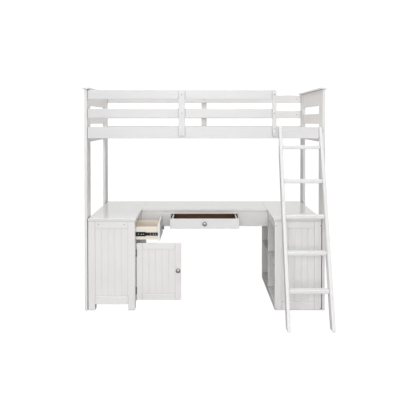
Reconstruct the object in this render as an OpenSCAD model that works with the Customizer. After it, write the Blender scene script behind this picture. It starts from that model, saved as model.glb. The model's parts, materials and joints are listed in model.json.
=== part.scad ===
// Twin loft bed with a U-shaped desk, a drawer pedestal, a bookcase and a leaning ladder.
// Millimetres, +Z up, front of the bed towards -Y, origin on the floor below the middle
// of the whole object. Lengths along Y are counted from the front face of the posts.

/* [Bed frame] */
// Clear length between the two end frames
clear_len = 1937; // [1900:1:2400]
// Depth of the bed over the posts
bed_depth = 1080; // [900:1:1400]
// Height of the posts, under the cap
post_h = 1827; // [1700:1:2200]
// Thickness of a post along the bed
post_t = 22; // [18:1:40]
// Width of a post across the bed
post_w = 155; // [120:1:180]
// Thickness of the end cap
cap_t = 15; // [10:1:30]
// Width of the end cap
cap_w = 52; // [48:1:80]
// How far the cap stands past the posts, front and back
cap_over = 8; // [0:1:25]
// Thickness of the boards of an end frame
end_board_t = 18; // [12:1:22]
// Height of the solid top board of an end frame
end_panel_h = 133; // [80:1:160]
// Height of the middle board of an end frame
end_mid_h = 88; // [60:1:110]
// Gap between the top and middle boards of an end frame
end_gap = 67; // [30:1:90]
// Height of the low board of an end frame
end_low_h = 90; // [60:1:120]
// Underside of the low board of an end frame
end_low_z = 1389; // [1250:1:1420]

/* [Rails and guard] */
// Underside of the side rails
side_z = 1421; // [1300:1:1440]
// Height of a side rail
side_h = 95; // [80:1:130]
// Thickness of the long rails
rail_t = 22; // [18:1:35]
// How far the long rails sit behind the outer face of the posts
rail_recess = 15; // [10:1:30]
// Height of a guard rail
guard_h = 75; // [50:1:90]
// Gap between the side rail and the middle guard rail
guard_low_gap = 75; // [40:1:85]
// Gap between the two guard rails
guard_high_gap = 79; // [40:1:90]
// Thickness of the upright guard bars
bar_t = 18; // [12:1:25]
// Width of the middle guard bars
bar_w = 52; // [40:1:80]
// Width of the bar beside the ladder
end_bar_w = 33; // [30:1:60]
// How far a bar starts above the bottom of the side rail
bar_short = 20; // [5:1:30]
// How far a bar stops below the top of the highest guard rail
bar_down = 4; // [0:1:20]
// Height of the low bolt of the bar beside the ladder, in the side rail
end_bolt_low = 41; // [25:1:45]
// Height of the high bolt of that bar, in the side rail
end_bolt_high = 80; // [70:1:82]
// Clear way for climbing in, between the last bar and the right post
entry_w = 380; // [370:1:600]

/* [Slats] */
// Number of slats
slat_count = 13; // [8:1:18]
// Width of a slat
slat_w = 70; // [50:1:90]
// Thickness of a slat
slat_t = 15; // [12:1:22]
// Height of the ledger under the slats
ledger_h = 30; // [20:1:40]
// Thickness of the ledger
ledger_t = 20; // [15:1:30]
// Height of the ledger above the bottom of the side rail
ledger_up = 9; // [0:1:20]
// How far a ledger stops short of the posts
ledger_end = 10; // [0:1:30]
// Gap between the ends of the slats and the side rails
slat_gap = 6; // [5:1:10]
// Distance of the outer slats from the posts
slat_in = 40; // [15:1:60]

/* [Ladder] */
// Width over the two stiles
ladder_w = 358; // [330:1:420]
// Thickness of a stile
stile_t = 25; // [18:1:35]
// Depth of a stile, square to its length
stile_d = 85; // [60:1:100]
// Distance of the ladder from the inner face of the right post
ladder_gap = 1.5; // [0.5:0.5:10]
// Height of the ladder's low bolts above the bottom of the side rail
ladder_bolt_low = 14; // [12:1:20]
// Height of the ladder's high bolts above the bottom of the side rail
ladder_bolt_high = 55; // [50:1:60]
// How far a ladder bolt reaches past the thickness of the stile's tip
ladder_bolt_in = 4; // [2:1:8]
// How far the foot stands in front of the posts
ladder_reach = 507; // [300:1:650]
// Thickness of the stile's tip at the top of the rail
tip_t = 12; // [8:1:30]
// Number of rungs
rung_count = 5; // [4:1:6]
// Underside of the lowest rung
rung_z = 255; // [200:1:300]
// Rise from rung to rung
rung_rise = 270; // [200:1:280]
// Thickness of a rung
rung_t = 30; // [22:1:36]
// Depth of a rung
rung_d = 62; // [40:1:75]
// How far a rung's upper front edge sits behind the front of the stiles
rung_in = 6; // [0:1:15]
// How far a screw reaches into a rung
rung_screw = 30; // [20:1:50]
// Depth of the recess for a screw's head in a stile
sink_d = 3; // [2.5:0.5:5]
// Rounding of a rung's long edges
rung_round = 6; // [2:1:10]

/* [Desk] */
// Height of the desk surface
desk_z = 762; // [700:1:800]
// Thickness of the desk top
desk_t = 22; // [18:1:35]
// How far the desk stops short of the back of the posts
desk_short = 40; // [10:1:120]
// How far the apron stands behind the opening for the side drawer and the door
apron_in = 46; // [20:1:58]
// Overhang of the desk arms over the knee space
arm_over = 8; // [4:1:25]
// Gap between a post and what stands inside it
frame_gap = 4.5; // [2:0.5:10]
// Height of the apron below the desk top
apron_h = 132; // [110:1:160]
// Thickness of aprons, hangers and the back rail
apron_t = 18; // [15:1:25]
// Height of the strip over the middle drawer
strip_top_h = 20; // [12:1:30]
// Height of the strip under the middle drawer
strip_low_h = 19; // [12:1:30]
// Height of the rail under the back of the desk
back_rail_h = 60; // [40:1:90]
// How far that rail sits in front of the cabinets' rear faces
back_rail_in = 4; // [0:1:30]

/* [Cabinets] */
// Width of the pedestal and of the bookcase
cab_w = 386; // [340:1:420]
// Height of the battens behind the pedestal's top rails
batten_h = 42; // [30:1:60]
// Thickness of the cleat that carries the front slide of the side drawer
cleat_t = 30; // [15:1:40]
// Height of that cleat
cleat_h = 80; // [50:1:100]
// Setback of the cabinets behind the front edge of the desk
cab_set = 4; // [0:1:20]
// Setback of the cabinets behind the rear edge of the desk
cab_short = 5; // [0:1:20]
// Width of a pedestal leg
leg_w = 57; // [45:1:70]
// Depth of a pedestal leg
leg_d = 70; // [50:1:90]
// Height of the pedestal floor above the ground
toe_h = 50; // [30:1:80]
// Thickness of the frames around the beaded panels
frame_t = 22; // [18:1:30]
// Height of the top rail of a beaded end
end_rail_h = 60; // [45:1:80]
// Distance of the top rail's screws from the legs
rail_screw_in = 30; // [15:1:60]
// Distance of the top rail's screws below the desk
rail_screw_down = 28; // [15:1:35]
// Length of the top rail's screws
rail_screw = 32; // [25:1:38]
// Height of the low rail of a beaded end
low_rail_h = 67; // [50:1:90]
// Thickness of a beaded panel
bead_t = 9; // [6:1:12]
// How far a beaded panel sits behind its frame
bead_set = 7; // [3:1:10]
// Number of grooves in a beaded panel
bead_count = 4; // [2:1:6]
// Width of a groove
groove_w = 5; // [2:0.5:8]
// Depth of a groove
groove_d = 2.5; // [1:0.5:4]
// Thickness of the side panels
side_t = 15; // [9:1:20]
// Thickness of the pedestal floor
floor_t = 10; // [9:1:18]
// Width of the opening for the side drawer and the door
bay_w = 380; // [300:1:460]
// Width of the stile behind that opening
stile_w = 60; // [40:1:80]
// Height of the strip over the side drawer
side_strip_h = 20; // [12:1:30]
// Height of the board between the side drawer and the door
divide_t = 15; // [12:1:22]
// Depth of that board
divide_d = 60; // [50:1:80]
// Clearance around an inset front
front_gap = 3; // [2:0.5:5]

/* [Bookcase] */
// Width of the stiles of the bookcase ends
case_stile_w = 58; // [45:1:75]
// Thickness of the shelves, floor and divider
shelf_t = 18; // [15:1:25]
// Top of the middle shelves
shelf_z = 374; // [280:1:480]
// Top of the bookcase floor
case_floor_z = 50; // [35:1:90]
// Setback of the middle shelves on the knee side
shelf_in = 2; // [0:1:10]
// Height of the low screws in the bookcase ends
case_screw_up = 16; // [8:1:25]
// Distance of their high screws below the desk
case_screw_down = 40; // [20:1:50]
// Length of the screws in the bookcase ends
case_screw = 50; // [40:1:60]

/* [Middle drawer] */
// Width of the drawer opening
mid_open_w = 606; // [480:1:700]
// Clearance around the front of the middle drawer
mid_gap = 3.5; // [2.5:0.5:6]
// How far the drawer stands open at rest
mid_out = 250; // [0:1:280]
// Space behind the slides of the middle drawer
mid_back = 93; // [20:1:160]
// Distance from the apron to the front of the middle drawer's fixed slides
mid_slide_in = 2; // [1:1:10]
// Height of the drawer box
mid_box_h = 74; // [50:1:80]

/* [Side drawer] */
// Height of the drawer front
side_front_h = 155; // [120:1:180]
// How far the drawer stands open at rest
side_out = 202; // [0:1:220]
// Space behind the slides of the side drawer
side_back = 52; // [30:1:100]
// Distance from the shut front to the front of the side drawer's fixed slides
side_slide_in = 1; // [1:1:10]
// Height of the drawer box
side_box_h = 108; // [80:1:120]

/* [Drawer fittings] */
// Thickness of a drawer front
front_t = 18; // [15:1:22]
// Height of a drawer box above the bottom of its front
box_up = 8; // [5:1:12]
// How far the side drawer's slides sit below the middle of its box
slide_drop = 7; // [0:1:20]
// Thickness of a drawer box wall
wall_t = 12; // [9:1:15]
// Thickness of a drawer bottom
bottom_t = 5; // [3:1:6]
// Height of a drawer bottom above the edge of the box
bottom_up = 8; // [5:1:12]
// Width left for a drawer slide
slide_w = 13; // [12.5:0.5:15]
// Height of the fixed slide member
slide_h = 45; // [40:1:50]
// Height of the middle slide member
slide_mid_h = 35; // [30:1:38]
// Height of the drawer slide member
slide_in_h = 25; // [18:1:26]
// Thickness of the slide's sheet metal
slide_web = 1.2; // [1:0.1:2]

/* [Door] */
// How far the door stands open at rest, in degrees
door_open = 90; // [0:1:175]
// Thickness of the door
door_t = 18; // [16:1:22]
// Width of the door's stiles and rails
door_frame_w = 50; // [40:1:65]
// How far the door's beaded panel sits behind its frame
door_bead_set = 5; // [3:1:8]
// Clearance at the hinge edge of the door
hinge_gap = 2.5; // [2:0.5:4]
// Height of a hinge
hinge_h = 60; // [40:1:80]
// Distance of each hinge from the end of the door
hinge_in = 52; // [30:1:120]
// Radius of the hinge knuckle
knuckle_r = 3; // [2.5:0.5:4]
// Gap between a knuckle and the face of the shut door
knuckle_gap = 0.6; // [0.5:0.1:1.5]
// Radius of the hinge pin
pin_r = 1.2; // [1:0.1:1.5]
// Width of a hinge leaf
leaf_w = 18; // [12:1:18]
// Thickness of a hinge leaf
leaf_t = 1; // [0.8:0.1:1]
// Height of the door knob above the middle of the door
door_knob_up = 10; // [0:1:100]
// Distance of the catch from the back of the door opening
catch_in = 50; // [45:1:90]
// Width of the catch
catch_w = 40; // [30:1:44]
// Height of the catch
catch_h = 14; // [10:1:25]
// Depth of the catch
catch_d = 24.5; // [15:0.5:40]
// Gap between the catch and the strike's door
catch_gap = 1.5; // [1.5:0.5:3]
// Width of the strike plate
strike_w = 24; // [15:1:30]
// Height of the strike plate
strike_h = 15; // [10:1:20]

/* [Knobs and bolts] */
// Radius of a knob
knob_r = 19.5; // [12:0.5:20]
// How far a knob stands out
knob_out = 25; // [18:1:32]
// Distance of the bolts between posts and cabinets from the floor and the desk
desk_bolt_end = 110; // [60:1:200]
// Distance of a barrel nut from the end of its rail
bolt_in = 45; // [35:1:60]
// How far a rail's bolt reaches past its barrel nut
bolt_past = 8; // [6:1:12]
// Wood left behind a barrel nut
nut_wall = 4; // [2:1:8]
// How far a bolt reaches into a pedestal leg
leg_bolt = 34; // [25:1:45]
// Thickness of a nut in the bookcase
nut_t = 5; // [4:0.5:6]
// Thickness of a nut behind a rail
thin_nut_t = 3.5; // [3:0.5:4]
// Radius of a bolt's shank
bolt_r = 3; // [2.5:0.5:4]
// Radius of a bolt's head
head_r = 7; // [6:0.5:9]
// Thickness of a bolt's head
head_t = 2.5; // [2:0.5:4]
// Radius of a barrel nut
nut_r = 5; // [4:0.5:6]
// Radius of a screw's shank
screw_r = 2; // [1.5:0.5:3]
// Radius of a screw's head
screw_head_r = 4.5; // [4:0.5:6]
// Thickness of a flat screw's head
flat_head_t = 1.5; // [1:0.5:2]

/* [Hidden] */
$fn = 48;
run = 0.4;          // running clearance between moving pieces
seam = 0.1;         // open joint that keeps two boards of one node apart
hole_gap = 0.25;    // radial clearance of a bolt in its hole
fit = 0.05;         // close fit of a nut on its bolt and of a leaf on its pin
blind = 2;          // free end of a blind hole, past the tip of its bolt or screw
lip_gap = 1;        // how far the lips of a slide stop short of the drawer
strike_t = 1;       // thickness of the strike plate
eps = 1;            // how far a cut runs past a face
white = "#ecebe8";
cream = "#e6cfa6";
steel = "#8d8b88";
black = "#1d1d1f";

xin = clear_len / 2;                         // inner face of the posts
xout = xin + post_t;                         // outer face of the posts
xcab = xin - frame_gap;                      // outer face of the cabinets
xknee = xcab - cab_w;                        // knee side of the cabinets
xarm = xknee - arm_over;                     // knee-side edge of the desk arms
y0 = (ladder_reach - bed_depth - cap_over) / 2;   // front face of the posts in the row frame
rail_y = rail_recess;                        // outer face of the front rails
side_top = side_z + side_h;
mid_z = side_top + guard_low_gap;
top_z = mid_z + guard_h + guard_high_gap;
top_end = top_z + guard_h;
end_panel_z = post_h - end_panel_h;
end_mid_z = end_panel_z - end_gap - end_mid_h;
xguard = xin - entry_w;                      // free end of the guard rails
xbar = (xguard - xin) / 2;                   // middle bar of the front guard
bar_z = side_z + bar_short;
bar_top = top_end - bar_down;
side_bolts = [side_z + side_h / 4, side_z + side_h * 3 / 4];
guard_bolts_z = [mid_z + guard_h / 2, top_z + guard_h / 2];
desk_low = desk_z - desk_t;                  // underside of the desk top
apron_z = desk_low - apron_h;
desk_d = bed_depth - desk_short;             // rear edge of the desk
cab_back = desk_d - cab_short;               // rear face of the cabinets
bay_y = cab_set + leg_d;                     // front side of the drawer and door opening
bay_end = bay_y + bay_w;
knee_d = bay_end + apron_in;                 // front edge of the middle of the desk
side_front_z = desk_low - side_strip_h - front_gap - side_front_h;
divide_z = side_front_z - front_gap - divide_t;
floor_top = toe_h + floor_t;
door_h = divide_z - floor_top - 2 * front_gap;
door_z = floor_top + front_gap;
door_w = bay_w - hinge_gap - front_gap;
pin_x = -xknee + knuckle_r + knuckle_gap;
pin_y = bay_y + hinge_gap / 2;
desk_bolt_y = [bay_y - leg_d / 2, cab_back - leg_d / 2];
desk_bolt_z = [desk_bolt_end, desk_low - desk_bolt_end];
mid_front_w = mid_open_w - 2 * mid_gap;
mid_box_w = mid_front_w - 2 * slide_w;
mid_open_z = apron_z + strip_low_h;
mid_open_h = apron_h - strip_low_h - strip_top_h;
mid_front_h = mid_open_h - 2 * mid_gap;
mid_front_z = mid_open_z + mid_gap;
mid_box_z = mid_front_z + box_up;
mid_slide_z = mid_front_z + mid_front_h / 2;
mid_y = knee_d - mid_out;                    // front face of the middle drawer at rest
side_box_z = side_front_z + box_up;
side_slide_z = side_box_z + side_box_h / 2 - slide_drop;
side_x = -xknee + side_out;                  // front face of the side drawer at rest
mid_slide_y = knee_d + apron_t + mid_slide_in;   // front end of the middle drawer's fixed slides
side_slide_x = -xknee - front_t - side_slide_in;   // front end of the side drawer's fixed slides
back_rail_y = cab_back - apron_t - back_rail_in;   // front face of the rail under the back of the desk
mid_len = back_rail_y - mid_slide_y - mid_back;          // length of the middle drawer's box
side_len = side_slide_x + xcab - side_t - side_back;     // length of the side drawer's box
stile_run = ladder_reach + rail_recess - tip_t;   // lean of the stile's front edge
lean = atan(stile_run / side_top);
stile_y = stile_d / cos(lean);               // depth of a stile measured level
xlad = xin - ladder_gap;                     // outer face of the right stile
ladder_bolts_z = [side_z + ladder_bolt_low, side_z + ladder_bolt_high];

// A board from its low corner to its high corner, with Y counted from the front of the posts.
module board(a, b) translate([a[0], y0 + a[1], a[2]]) cube([b[0] - a[0], b[1] - a[1], b[2] - a[2]]);

// A point on the bed, with Y counted from the front of the posts.
module spot(p) translate([p[0], y0 + p[1], p[2]]) children();

// A round bar of length l from p along +X, +Y, +Z or their opposites.
module round_bar(p, dir, r, l)
    spot(p) rotate(dir == "x" ? [0, 90, 0] : dir == "-x" ? [0, -90, 0]
        : dir == "y" ? [-90, 0, 0] : dir == "-y" ? [90, 0, 0] : [0, 0, 0])
        cylinder(r = r, h = l);

// What is drawn for the right side, or mirrored for the left.
module on_side(s) mirror([s < 0 ? 1 : 0, 0, 0]) children();

// ---------------------------------------------------------------- bed frame

// The heights of the bolts in one post: every rail behind it has its own.
function post_bolts(s, back) = (s > 0 && !back) ? side_bolts : concat(side_bolts, guard_bolts_z);

// The middle line of a long rail across the bed.
function rail_mid(back) = back ? bed_depth - rail_y - rail_t / 2 : rail_y + rail_t / 2;

module post(s, back) difference() {
    on_side(s) board([xin, back ? bed_depth - post_w : 0, 0], [xout, back ? bed_depth : post_w, post_h]);
    for (z = post_bolts(s, back))
        on_side(s) round_bar([xin - eps, rail_mid(back), z], "x", bolt_r + hole_gap, post_t + 2 * eps);
    for (z = desk_bolt_z)
        on_side(s) round_bar([xin - eps, desk_bolt_y[back ? 1 : 0], z], "x",
            bolt_r + hole_gap, post_t + 2 * eps);
}
module left_posts() color(white) for (back = [false, true]) post(-1, back);
module right_posts() color(white) for (back = [false, true]) post(1, back);

module end_caps() color(white) for (s = [-1, 1]) on_side(s)
    board([xin + post_t / 2 - cap_w / 2, -cap_over, post_h],
        [xin + post_t / 2 + cap_w / 2, bed_depth + cap_over, post_h + cap_t]);

// One board of an end frame, between the two posts.
module end_board(s, z, h) on_side(s)
    board([xin + (post_t - end_board_t) / 2, post_w, z],
        [xin + (post_t + end_board_t) / 2, bed_depth - post_w, z + h]);
module end_panels() color(white) for (s = [-1, 1]) end_board(s, end_panel_z, end_panel_h);
module end_rails() color(white) for (s = [-1, 1]) {
    end_board(s, end_mid_z, end_mid_h);
    end_board(s, end_low_z, end_low_h);
}

// ---------------------------------------------------------------- long rails

// A long rail with the bolt and barrel nut holes of its fixed ends.
module long_rail(back, z, h, bolts, right_end) {
    ym = rail_mid(back);
    difference() {
        board([-xin, ym - rail_t / 2, z], [right_end, ym + rail_t / 2, z + h]);
        for (s = [-1, 1], b = bolts) if (s < 0 || right_end == xin) on_side(s) {
            round_bar([xin + eps, ym, b], "-x", bolt_r + hole_gap, bolt_in + bolt_past + blind + eps);
            round_bar([xin - bolt_in, ym + (back ? -1 : 1) * (rail_t / 2 + eps), b],
                back ? "y" : "-y", nut_r + hole_gap, rail_t + eps - nut_wall);
        }
        if (!back) guard_holes(z, h);
        if (back) back_bar_holes(z, h);
        if (!back && z == side_z) ladder_holes();
    }
}
module front_side_rail() color(white) long_rail(false, side_z, side_h, side_bolts, xin);
module front_mid_guard() color(white) long_rail(false, mid_z, guard_h, [guard_bolts_z[0]], xguard);
module front_top_guard() color(white) long_rail(false, top_z, guard_h, [guard_bolts_z[1]], xguard);
module back_side_rail() color(white) long_rail(true, side_z, side_h, side_bolts, xin);
module back_mid_guard() color(white) long_rail(true, mid_z, guard_h, [guard_bolts_z[0]], xin);
module back_top_guard() color(white) long_rail(true, top_z, guard_h, [guard_bolts_z[1]], xin);

// Bolts of a middle bar: one in each rail it crosses.
bar_bolts = [side_z + side_h / 2, guard_bolts_z[0], guard_bolts_z[1]];
// Bolts of the bar beside the ladder: two in the side rail.
end_bar_bolts = concat([side_z + end_bolt_low, side_z + end_bolt_high], guard_bolts_z);
xend_bar = xguard - end_bar_w / 2;

module bar_hole(x, z, back) {
    front = back ? bed_depth - rail_y + bar_t : rail_y - bar_t;
    round_bar([x, front + (back ? eps : -eps), z], back ? "-y" : "y",
        bolt_r + hole_gap, bar_t + rail_t + 2 * eps);
}
module guard_holes(z, h) {
    for (b = bar_bolts) if (b > z && b < z + h) bar_hole(xbar, b, false);
    for (b = end_bar_bolts) if (b > z && b < z + h) bar_hole(xend_bar, b, false);
}
module back_bar_holes(z, h) for (b = bar_bolts) if (b > z && b < z + h) bar_hole(0, b, true);

// An upright bar on the outer side of the rails.
module guard_bar(x, w, bolts, back) {
    y = back ? bed_depth - rail_y : rail_y - bar_t;
    difference() {
        board([x - w / 2, y, bar_z], [x + w / 2, y + bar_t, bar_top]);
        for (b = bolts) bar_hole(x, b, back);
    }
}
module front_guard_bar() color(white) guard_bar(xbar, bar_w, bar_bolts, false);
module ladder_guard_bar() color(white) guard_bar(xend_bar, end_bar_w, end_bar_bolts, false);
module back_guard_bar() color(white) guard_bar(0, bar_w, bar_bolts, true);

// ---------------------------------------------------------------- slats

ledger_z = side_z + ledger_up;
slat_z = ledger_z + ledger_h;
module slat_ledgers() color(white) for (back = [false, true]) {
    y = back ? bed_depth - rail_y - rail_t - ledger_t : rail_y + rail_t;
    difference() {
        board([-xin + ledger_end, y, ledger_z], [xin - ledger_end, y + ledger_t, slat_z]);
        if (!back) ladder_holes();
        for (x = back ? [0] : [xbar, xend_bar]) for (b = concat(bar_bolts, end_bar_bolts))
            if (b > ledger_z - head_r && b < slat_z + head_r)
                round_bar([x, y - eps, b], "y", head_r + hole_gap, ledger_t + 2 * eps);
        for (s = [-1, 1], b = side_bolts) if (b > ledger_z - nut_r && b < slat_z + nut_r)
            round_bar([s * (xin - bolt_in), y - eps, b], "y", nut_r + hole_gap, ledger_t + 2 * eps);
    }
}
slat_pitch = (2 * xin - 2 * slat_in - slat_w) / (slat_count - 1);
module slats() color(cream) for (i = [0 : slat_count - 1])
    board([-xin + slat_in + i * slat_pitch, rail_y + rail_t + slat_gap, slat_z],
        [-xin + slat_in + i * slat_pitch + slat_w, bed_depth - rail_y - rail_t - slat_gap, slat_z + slat_t]);

// ---------------------------------------------------------------- ladder

// Y of the front edge of a stile at height z.
function stile_front(z) = -ladder_reach + stile_run * z / side_top;
// Height at which the back edge of a stile meets the rail.
stile_meet = (rail_y + ladder_reach - stile_y) * side_top / stile_run;
function xstile(s) = s > 0 ? xlad - stile_t : xlad - ladder_w;
function rung_low(i) = rung_z + i * rung_rise;
// Front and middle of a rung across the bed.
function rung_front(i) = stile_front(rung_low(i) + rung_t) + rung_in;
function rung_mid(i) = rung_front(i) + rung_d / 2;
rung_screw_off = rung_d / 4;

module ladder_holes() for (s = [-1, 1], z = ladder_bolts_z)
    round_bar([xstile(s) + stile_t / 2, rail_y - tip_t - ladder_bolt_in - blind, z], "y",
        bolt_r + hole_gap, tip_t + ladder_bolt_in + blind + rail_t + ledger_t + 2 * eps);

module stile(s) difference() {
    translate([xstile(s), y0, 0]) rotate([90, 0, 90]) linear_extrude(stile_t) polygon([
        [-ladder_reach, 0], [stile_front(side_top), side_top], [rail_y, side_top],
        [rail_y, stile_meet], [-ladder_reach + stile_y, 0]]);
    ladder_holes();
    for (i = [0 : rung_count - 1], k = [-1, 1]) {
        round_bar([xstile(s) - eps, rung_mid(i) + k * rung_screw_off, rung_low(i) + rung_t / 2], "x",
            screw_r + hole_gap, stile_t + 2 * eps);
        round_bar([s < 0 ? xstile(s) - eps : xstile(s) + stile_t - sink_d,
            rung_mid(i) + k * rung_screw_off, rung_low(i) + rung_t / 2], "x",
            screw_head_r + hole_gap, sink_d + eps);
    }
}
module left_stile() color(white) stile(-1);
module right_stile() color(white) stile(1);

// A rung with softened long edges, between the inner faces of the stiles.
module rung(i) difference() {
    x = xstile(-1) + stile_t;
    spot([x, rung_front(i), rung_low(i)]) rotate([90, 0, 90])
        linear_extrude(ladder_w - 2 * stile_t) union() {
            translate([rung_round, 0]) square([rung_d - 2 * rung_round, rung_t]);
            translate([0, rung_round]) square([rung_d, rung_t - 2 * rung_round]);
            for (u = [rung_round, rung_d - rung_round], v = [rung_round, rung_t - rung_round])
                translate([u, v]) circle(rung_round);
        }
    for (s = [-1, 1], k = [-1, 1])
        round_bar([s < 0 ? x - eps : xstile(1) + eps, rung_mid(i) + k * rung_screw_off,
            rung_low(i) + rung_t / 2], s < 0 ? "x" : "-x", screw_r + hole_gap, rung_screw + blind + eps);
}
module rungs() color(white) for (i = [0 : rung_count - 1]) rung(i);

// ---------------------------------------------------------------- desk

module desk_top_left() color(white) board([-xcab, 0, desk_low], [-xarm, desk_d, desk_z]);
module desk_top_right() color(white) board([xarm, 0, desk_low], [xcab, desk_d, desk_z]);
module desk_top_middle() color(white) board([-xarm, knee_d, desk_low], [xarm, desk_d, desk_z]);

module desk_apron() color(white) {
    for (s = [-1, 1]) on_side(s)
        board([mid_open_w / 2, knee_d, apron_z], [xknee, knee_d + apron_t, desk_low]);
    for (z = [[apron_z, mid_open_z], [desk_low - strip_top_h, desk_low]])
        board([-mid_open_w / 2 + seam, knee_d, z[0]],
            [mid_open_w / 2 - seam, knee_d + apron_t, z[1]]);
}

// The rail under the back of the desk and the two hangers that carry the drawer slides.
module desk_rails() color(white) {
    board([-xknee, back_rail_y, desk_low - back_rail_h], [xknee, back_rail_y + apron_t, desk_low]);
    for (s = [-1, 1]) on_side(s)
        board([mid_front_w / 2, knee_d + apron_t + run, apron_z],
            [mid_front_w / 2 + apron_t, back_rail_y - seam, desk_low]);
}

// ---------------------------------------------------------------- beaded boards

// An upright panel in the XZ plane with grooves on its outer face, which looks along -Y.
module beaded(x1, x2, z1, z2, y, t) difference() {
    board([x1, y, z1], [x2, y + t, z2]);
    for (i = [1 : bead_count])
        spot([x1 + (x2 - x1) * i / (bead_count + 1), y, z1 - eps])
            linear_extrude(z2 - z1 + 2 * eps)
            polygon([[-groove_w / 2, -0.01], [groove_w / 2, -0.01], [0, groove_d]]);
}
// The same panel turned to look along +Y.
module beaded_back(x1, x2, z1, z2, y, t) difference() {
    board([x1, y - t, z1], [x2, y, z2]);
    for (i = [1 : bead_count])
        spot([x1 + (x2 - x1) * i / (bead_count + 1), y, z1 - eps])
            linear_extrude(z2 - z1 + 2 * eps)
            polygon([[-groove_w / 2, 0.01], [0, -groove_d], [groove_w / 2, 0.01]]);
}

// ---------------------------------------------------------------- pedestal

ped_l = -xcab;            // outer face
ped_r = -xknee;           // knee side
leg_l = ped_l + leg_w;    // inner sides of the legs
leg_r = ped_r - leg_w;
front_screws_x = [leg_l + rail_screw_in, leg_r - rail_screw_in];
front_screw_z = desk_low - rail_screw_down;

module pedestal_legs() color(white)
    for (l = [0, 1], back = [0, 1]) {
        x = l ? ped_l : leg_r;
        y = back ? cab_back - leg_d : cab_set;
        difference() {
            board([x, y, 0], [x + leg_w, y + leg_d, desk_low]);
            if (l) for (z = desk_bolt_z)
                round_bar([ped_l - eps, desk_bolt_y[back], z], "x",
                    bolt_r + hole_gap, leg_bolt + blind + eps);
        }
    }

module pedestal_rails() color(white) {
    // front and back: top rail, low rail and a batten behind the top rail
    for (back = [0, 1]) {
        y = back ? cab_back - frame_t : cab_set;
        yb = back ? y - apron_t - seam : y + frame_t + seam;
        difference() {
            board([leg_l, y, desk_low - end_rail_h], [leg_r, y + frame_t, desk_low]);
            front_screw_holes();
        }
        board([leg_l, y, toe_h], [leg_r, y + frame_t, toe_h + low_rail_h]);
        difference() {
            board([leg_l, yb, desk_low - batten_h], [leg_r, yb + apron_t, desk_low]);
            front_screw_holes();
        }
    }
    // knee side: strip over the drawer, board between drawer and door, stile behind them
    board([ped_r - frame_t, bay_y, desk_low - side_strip_h], [ped_r, bay_end - seam, desk_low]);
    board([ped_r - divide_d, bay_y, divide_z], [ped_r, bay_end - seam, divide_z + divide_t]);
    board([ped_r - frame_t, bay_end, toe_h], [ped_r, bay_end + stile_w, desk_low]);
    // cleat that carries the front slide of the side drawer
    board([leg_l, bay_y - cleat_t, side_slide_z - cleat_h / 2], [leg_r, bay_y, side_slide_z + cleat_h / 2]);
}

module front_screw_holes() for (x = front_screws_x) {
    round_bar([x, cab_set - eps, front_screw_z], "y", screw_r + hole_gap, rail_screw + blind + eps);
    round_bar([x, cab_back + eps, front_screw_z], "-y", screw_r + hole_gap, rail_screw + blind + eps);
}

module pedestal_beaded_ends() color(white) {
    beaded(leg_l, leg_r, toe_h + low_rail_h, desk_low - end_rail_h, cab_set + bead_set, bead_t);
    beaded_back(leg_l, leg_r, toe_h + low_rail_h, desk_low - end_rail_h, cab_back - bead_set, bead_t);
}

module pedestal_side_panels() color(white) {
    board([ped_l, bay_y, toe_h], [ped_l + side_t, cab_back - leg_d, desk_low]);
    board([ped_r - side_t, bay_end + stile_w, toe_h], [ped_r, cab_back - leg_d, desk_low]);
}

module pedestal_partition() color(white)
    board([ped_l + side_t, bay_end, floor_top], [ped_r - frame_t, bay_end + side_t, desk_low]);

module pedestal_floor() color(white) difference() {
    board([ped_l + side_t, cab_set + frame_t, toe_h], [ped_r, cab_back - frame_t, floor_top]);
    for (x = [ped_l - eps, leg_r], y = [cab_set - eps, cab_back - leg_d])
        board([x, y, toe_h - eps], [x + leg_w + eps, y + leg_d + eps, floor_top + eps]);
    board([ped_r - frame_t, bay_end, toe_h - eps], [ped_r + eps, bay_end + stile_w, floor_top + eps]);
    board([ped_r - side_t, bay_end, toe_h - eps], [ped_r + eps, cab_back, floor_top + eps]);
}

// ---------------------------------------------------------------- bookcase

// Screws through the bookcase ends, into the rails on the knee side and into the back.
case_screws_x = [xknee + shelf_t / 2, xcab - side_t / 2];
case_screws_z = [case_screw_up, desk_low - case_screw_down];
module case_screw_holes() for (x = case_screws_x, z = case_screws_z) {
    round_bar([x, cab_set - eps, z], "y", screw_r + hole_gap, case_screw + blind + eps);
    round_bar([x, cab_back + eps, z], "-y", screw_r + hole_gap, case_screw + blind + eps);
}

module bookcase_frames() color(white) for (y = [cab_set, cab_back - frame_t]) case_frame(y);
module case_frame(y) {
    difference() {
        board([xknee, y, 0], [xknee + case_stile_w, y + frame_t, desk_low]);
        case_screw_holes();
    }
    difference() {
        board([xcab - case_stile_w, y, 0], [xcab, y + frame_t, desk_low]);
        case_screw_holes();
    }
    for (z = [[0, low_rail_h], [desk_low - end_rail_h, desk_low]])
        board([xknee + case_stile_w + seam, y, z[0]], [xcab - case_stile_w - seam, y + frame_t, z[1]]);
}
module bookcase_beaded_ends() color(white) {
    beaded(xknee + case_stile_w, xcab - case_stile_w, low_rail_h, desk_low - end_rail_h,
        cab_set + bead_set, bead_t);
    beaded_back(xknee + case_stile_w, xcab - case_stile_w, low_rail_h, desk_low - end_rail_h,
        cab_back - bead_set, bead_t);
}
module bookcase_back() color(white) difference() {
    board([xcab - side_t, cab_set + frame_t, 0], [xcab, cab_back - frame_t, desk_low]);
    case_screw_holes();
    for (y = desk_bolt_y, z = desk_bolt_z)
        round_bar([xcab + eps, y, z], "-x", bolt_r + hole_gap, side_t + 2 * eps);
}
module bookcase_rails() color(white)
    for (z = [[0, case_floor_z - shelf_t], [desk_low - end_rail_h, desk_low]]) difference() {
        board([xknee, cab_set + frame_t, z[0]], [xknee + shelf_t, cab_back - frame_t, z[1]]);
        case_screw_holes();
    }
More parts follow.
